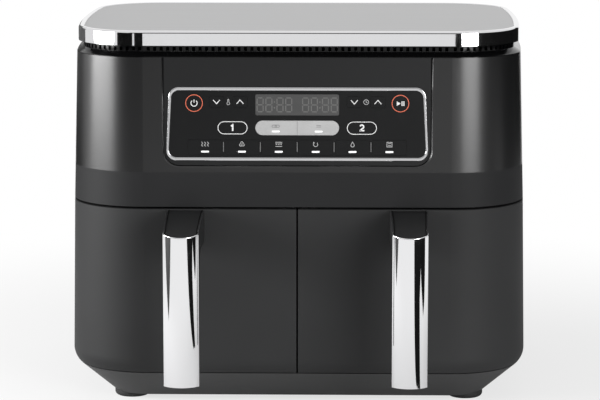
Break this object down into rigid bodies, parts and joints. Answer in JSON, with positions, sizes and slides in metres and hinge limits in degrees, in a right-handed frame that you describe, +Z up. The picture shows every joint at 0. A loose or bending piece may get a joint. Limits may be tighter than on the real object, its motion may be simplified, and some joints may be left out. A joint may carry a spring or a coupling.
{
  "type": "air fryer",
  "caption": "Countertop air fryer with side-by-side pull-out drawers on hanging handles, a framed key panel, a slotted vent band and a bright flat lid.",
  "frame": {"origin": "middle of the bounding box, on the table under the feet", "axes": "+X to the right when facing the drawers, -Y out of the front, +Z up"},
  "size_m": [0.3878, 0.3559, 0.315],
  "materials": {
    "base_plastic": "matte",
    "foot_rubber": "matte",
    "housing_plastic": "satin",
    "rear_plastic": "matte",
    "screw_steel": "satin",
    "gland_plastic": "matte",
    "vent_plastic": "matte",
    "rim_silver": "polished",
    "lid_silver": "satin",
    "fascia_plastic": "satin",
    "frame_silver": "polished",
    "panel_gloss": "gloss",
    "key_gloss": "gloss",
    "display_window": "gloss",
    "display_module": "matte",
    "circuit_board": "satin",
    "power_board": "satin",
    "sensor_steel": "satin",
    "switch_plastic": "matte",
    "drawer_plastic": "satin",
    "bin_coating": "satin",
    "handle_plastic": "satin",
    "handle_chrome": "polished",
    "crisper_coating": "satin",
    "bumper_rubber": "matte",
    "chamber_steel": "satin",
    "heater_steel": "satin",
    "guard_steel": "satin",
    "motor_metal": "satin",
    "shaft_steel": "polished",
    "fan_aluminium": "satin",
    "cooling_fan_plastic": "matte"
  },
  "bodies": {
    "body": {"base_pan": "base_plastic", "feet": "foot_rubber", "housing": "housing_plastic", "rear_cover": "rear_plastic", "screws": "screw_steel", "cord_gland": "gland_plastic", "vent_ring": "vent_plastic", "lid_rim": "rim_silver", "lid_plate": "lid_silver", "fascia": "fascia_plastic", "panel_frame": "frame_silver", "control_panel": "panel_gloss", "display_window": "display_window", "display_module": "display_module", "control_board": "circuit_board", "power_board": "power_board", "thermal_sensors": "sensor_steel", "drawer_switches": "switch_plastic", "chamber_left": "chamber_steel", "heater_left": "heater_steel", "fan_guard_left": "guard_steel", "motor_left": "motor_metal", "chamber_right": "chamber_steel", "heater_right": "heater_steel", "fan_guard_right": "guard_steel", "motor_right": "motor_metal"},
    "drawer_left": {"drawer_front_left": "drawer_plastic", "drawer_bin_left": "bin_coating", "handle_core_left": "handle_plastic", "handle_trim_left": "handle_chrome"},
    "crisper_left": {"crisper_plate_left": "crisper_coating", "crisper_bumpers_left": "bumper_rubber"},
    "fan_left": {"fan_shaft_left": "shaft_steel", "convection_fan_left": "fan_aluminium", "cooling_fan_left": "cooling_fan_plastic"},
    "drawer_right": {"drawer_front_right": "drawer_plastic", "drawer_bin_right": "bin_coating", "handle_core_right": "handle_plastic", "handle_trim_right": "handle_chrome"},
    "crisper_right": {"crisper_plate_right": "crisper_coating", "crisper_bumpers_right": "bumper_rubber"},
    "fan_right": {"fan_shaft_right": "shaft_steel", "convection_fan_right": "fan_aluminium", "cooling_fan_right": "cooling_fan_plastic"},
    "power_button": {"power_key": "key_gloss"},
    "start_button": {"start_key": "key_gloss"},
    "temp_down_button": {"temp_down_key": "key_gloss"},
    "temp_up_button": {"temp_up_key": "key_gloss"},
    "time_down_button": {"time_down_key": "key_gloss"},
    "time_up_button": {"time_up_key": "key_gloss"},
    "zone_1_button": {"zone_1_key": "key_gloss"},
    "zone_2_button": {"zone_2_key": "key_gloss"},
    "sync_button": {"sync_key": "key_gloss"},
    "match_button": {"match_key": "key_gloss"},
    "function_button_1": {"function_key_1": "key_gloss"},
    "function_button_2": {"function_key_2": "key_gloss"},
    "function_button_3": {"function_key_3": "key_gloss"},
    "function_button_4": {"function_key_4": "key_gloss"},
    "function_button_5": {"function_key_5": "key_gloss"},
    "function_button_6": {"function_key_6": "key_gloss"}
  },
  "joints": [
    {"name": "drawer_left_slide", "type": "slide", "parent": "body", "child": "drawer_left", "axis": [0, -1, 0], "range_m": [0, 0.24]},
    {"name": "crisper_left_lift", "type": "slide", "parent": "drawer_left", "child": "crisper_left", "axis": [0, 0, 1], "range_m": [0, 0.09]},
    {"name": "fan_left_spin", "type": "hinge", "parent": "body", "child": "fan_left", "pos_m": [-0.0917, 0.02175, 0.2], "axis": [0, 0, 1], "continuous": true},
    {"name": "drawer_right_slide", "type": "slide", "parent": "body", "child": "drawer_right", "axis": [0, -1, 0], "range_m": [0, 0.24]},
    {"name": "crisper_right_lift", "type": "slide", "parent": "drawer_right", "child": "crisper_right", "axis": [0, 0, 1], "range_m": [0, 0.09]},
    {"name": "fan_right_spin", "type": "hinge", "parent": "body", "child": "fan_right", "pos_m": [0.0917, 0.02175, 0.2], "axis": [0, 0, 1], "continuous": true},
    {"name": "power_key_press", "type": "slide", "parent": "body", "child": "power_button", "axis": [0, 1, 0], "range_m": [0, 0.0005], "stiffness_N_per_m": 1500},
    {"name": "start_key_press", "type": "slide", "parent": "body", "child": "start_button", "axis": [0, 1, 0], "range_m": [0, 0.0005], "stiffness_N_per_m": 1500},
    {"name": "temp_down_key_press", "type": "slide", "parent": "body", "child": "temp_down_button", "axis": [0, 1, 0], "range_m": [0, 0.0005], "stiffness_N_per_m": 1500},
    {"name": "temp_up_key_press", "type": "slide", "parent": "body", "child": "temp_up_button", "axis": [0, 1, 0], "range_m": [0, 0.0005], "stiffness_N_per_m": 1500},
    {"name": "time_down_key_press", "type": "slide", "parent": "body", "child": "time_down_button", "axis": [0, 1, 0], "range_m": [0, 0.0005], "stiffness_N_per_m": 1500},
    {"name": "time_up_key_press", "type": "slide", "parent": "body", "child": "time_up_button", "axis": [0, 1, 0], "range_m": [0, 0.0005], "stiffness_N_per_m": 1500},
    {"name": "zone_1_key_press", "type": "slide", "parent": "body", "child": "zone_1_button", "axis": [0, 1, 0], "range_m": [0, 0.0005], "stiffness_N_per_m": 1500},
    {"name": "zone_2_key_press", "type": "slide", "parent": "body", "child": "zone_2_button", "axis": [0, 1, 0], "range_m": [0, 0.0005], "stiffness_N_per_m": 1500},
    {"name": "sync_key_press", "type": "slide", "parent": "body", "child": "sync_button", "axis": [0, 1, 0], "range_m": [0, 0.0005], "stiffness_N_per_m": 1500},
    {"name": "match_key_press", "type": "slide", "parent": "body", "child": "match_button", "axis": [0, 1, 0], "range_m": [0, 0.0005], "stiffness_N_per_m": 1500},
    {"name": "function_key_1_press", "type": "slide", "parent": "body", "child": "function_button_1", "axis": [0, 1, 0], "range_m": [0, 0.0005], "stiffness_N_per_m": 1500},
    {"name": "function_key_2_press", "type": "slide", "parent": "body", "child": "function_button_2", "axis": [0, 1, 0], "range_m": [0, 0.0005], "stiffness_N_per_m": 1500},
    {"name": "function_key_3_press", "type": "slide", "parent": "body", "child": "function_button_3", "axis": [0, 1, 0], "range_m": [0, 0.0005], "stiffness_N_per_m": 1500},
    {"name": "function_key_4_press", "type": "slide", "parent": "body", "child": "function_button_4", "axis": [0, 1, 0], "range_m": [0, 0.0005], "stiffness_N_per_m": 1500},
    {"name": "function_key_5_press", "type": "slide", "parent": "body", "child": "function_button_5", "axis": [0, 1, 0], "range_m": [0, 0.0005], "stiffness_N_per_m": 1500},
    {"name": "function_key_6_press", "type": "slide", "parent": "body", "child": "function_button_6", "axis": [0, 1, 0], "range_m": [0, 0.0005], "stiffness_N_per_m": 1500}
  ]
}
